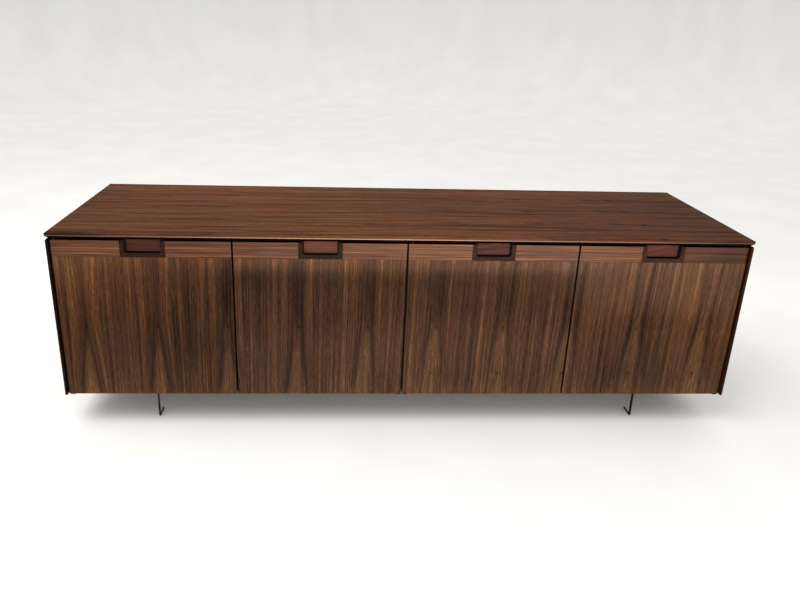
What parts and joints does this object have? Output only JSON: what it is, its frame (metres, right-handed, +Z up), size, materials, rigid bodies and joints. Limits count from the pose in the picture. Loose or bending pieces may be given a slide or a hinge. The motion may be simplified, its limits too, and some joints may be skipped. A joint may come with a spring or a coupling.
{
  "type": "office credenza",
  "caption": "Low walnut office credenza with a row of hinged doors, recessed finger pulls, loose shelves and thin black steel legs",
  "frame": {"origin": "on the floor under the middle of the cabinet", "axes": "+X to the right along the front, +Y to the back, +Z up; the doors face -Y"},
  "size_m": [1.829, 0.508, 0.559],
  "materials": {
    "walnut_top": "satin walnut veneer, grain along the width",
    "walnut_ends": "satin walnut veneer, upright grain",
    "walnut_door": "satin walnut veneer, upright slip-matched grain",
    "walnut_rail": "satin walnut, grain along the width",
    "walnut_back": "satin walnut veneer, grain along the width",
    "solid_walnut_pull": "dark oiled solid walnut",
    "solid_walnut_plate": "oiled solid walnut",
    "carcass_board": "walnut-faced board, satin",
    "black_steel": "black powder coat",
    "zinc_steel": "zinc plated",
    "brass": "turned",
    "glide_plastic": "matt nylon",
    "catch_plastic": "matt brown",
    "bumper_rubber": "clear silicone"
  },
  "bodies": {
    "case": {"top_panel": "walnut_top", "end_panel_left": "walnut_ends", "end_panel_right": "walnut_ends", "case_side_left": "carcass_board", "case_side_right": "carcass_board", "bottom_board": "carcass_board", "sub_top_board": "carcass_board", "centre_partition": "carcass_board", "back_panel": "walnut_back", "shelf_left": "carcass_board", "shelf_right": "carcass_board", "shelf_pegs": "zinc_steel", "carcass_screws": "zinc_steel", "end_panel_screws": "zinc_steel", "top_screws": "zinc_steel", "back_screws": "zinc_steel", "pivot_plates_lower": "black_steel", "pivot_plates_upper": "black_steel", "pivot_pins": "black_steel", "pivot_screws": "zinc_steel", "leg_front_left": "black_steel", "leg_front_right": "black_steel", "leg_rear_left": "black_steel", "leg_rear_right": "black_steel", "leg_screws": "zinc_steel", "glide_pads": "glide_plastic", "catches": "catch_plastic", "catch_screws": "zinc_steel", "door_bumpers": "bumper_rubber"},
    "door_1": {"door_1_panel": "walnut_door", "door_1_rail_left": "walnut_rail", "door_1_rail_right": "walnut_rail", "door_1_pull_frame": "solid_walnut_pull", "door_1_pull_plate": "solid_walnut_plate", "door_1_bushes": "brass", "door_1_strike": "zinc_steel"},
    "door_2": {"door_2_panel": "walnut_door", "door_2_rail_left": "walnut_rail", "door_2_rail_right": "walnut_rail", "door_2_pull_frame": "solid_walnut_pull", "door_2_pull_plate": "solid_walnut_plate", "door_2_bushes": "brass", "door_2_strike": "zinc_steel"},
    "door_3": {"door_3_panel": "walnut_door", "door_3_rail_left": "walnut_rail", "door_3_rail_right": "walnut_rail", "door_3_pull_frame": "solid_walnut_pull", "door_3_pull_plate": "solid_walnut_plate", "door_3_bushes": "brass", "door_3_strike": "zinc_steel"},
    "door_4": {"door_4_panel": "walnut_door", "door_4_rail_left": "walnut_rail", "door_4_rail_right": "walnut_rail", "door_4_pull_frame": "solid_walnut_pull", "door_4_pull_plate": "solid_walnut_plate", "door_4_bushes": "brass", "door_4_strike": "zinc_steel"}
  },
  "joints": [
    {"name": "door_1_hinge", "type": "hinge", "parent": "case", "child": "door_1", "pos_m": [-0.898, -0.2395, 0.31925], "axis": [0, 0, -1], "range_deg": [0, 105]},
    {"name": "door_2_hinge", "type": "hinge", "parent": "case", "child": "door_2", "pos_m": [-0.0105, -0.2395, 0.31925], "axis": [0, 0, 1], "range_deg": [0, 90]},
    {"name": "door_3_hinge", "type": "hinge", "parent": "case", "child": "door_3", "pos_m": [0.0105, -0.2395, 0.31925], "axis": [0, 0, -1], "range_deg": [0, 90]},
    {"name": "door_4_hinge", "type": "hinge", "parent": "case", "child": "door_4", "pos_m": [0.898, -0.2395, 0.31925], "axis": [0, 0, 1], "range_deg": [0, 105]}
  ]
}
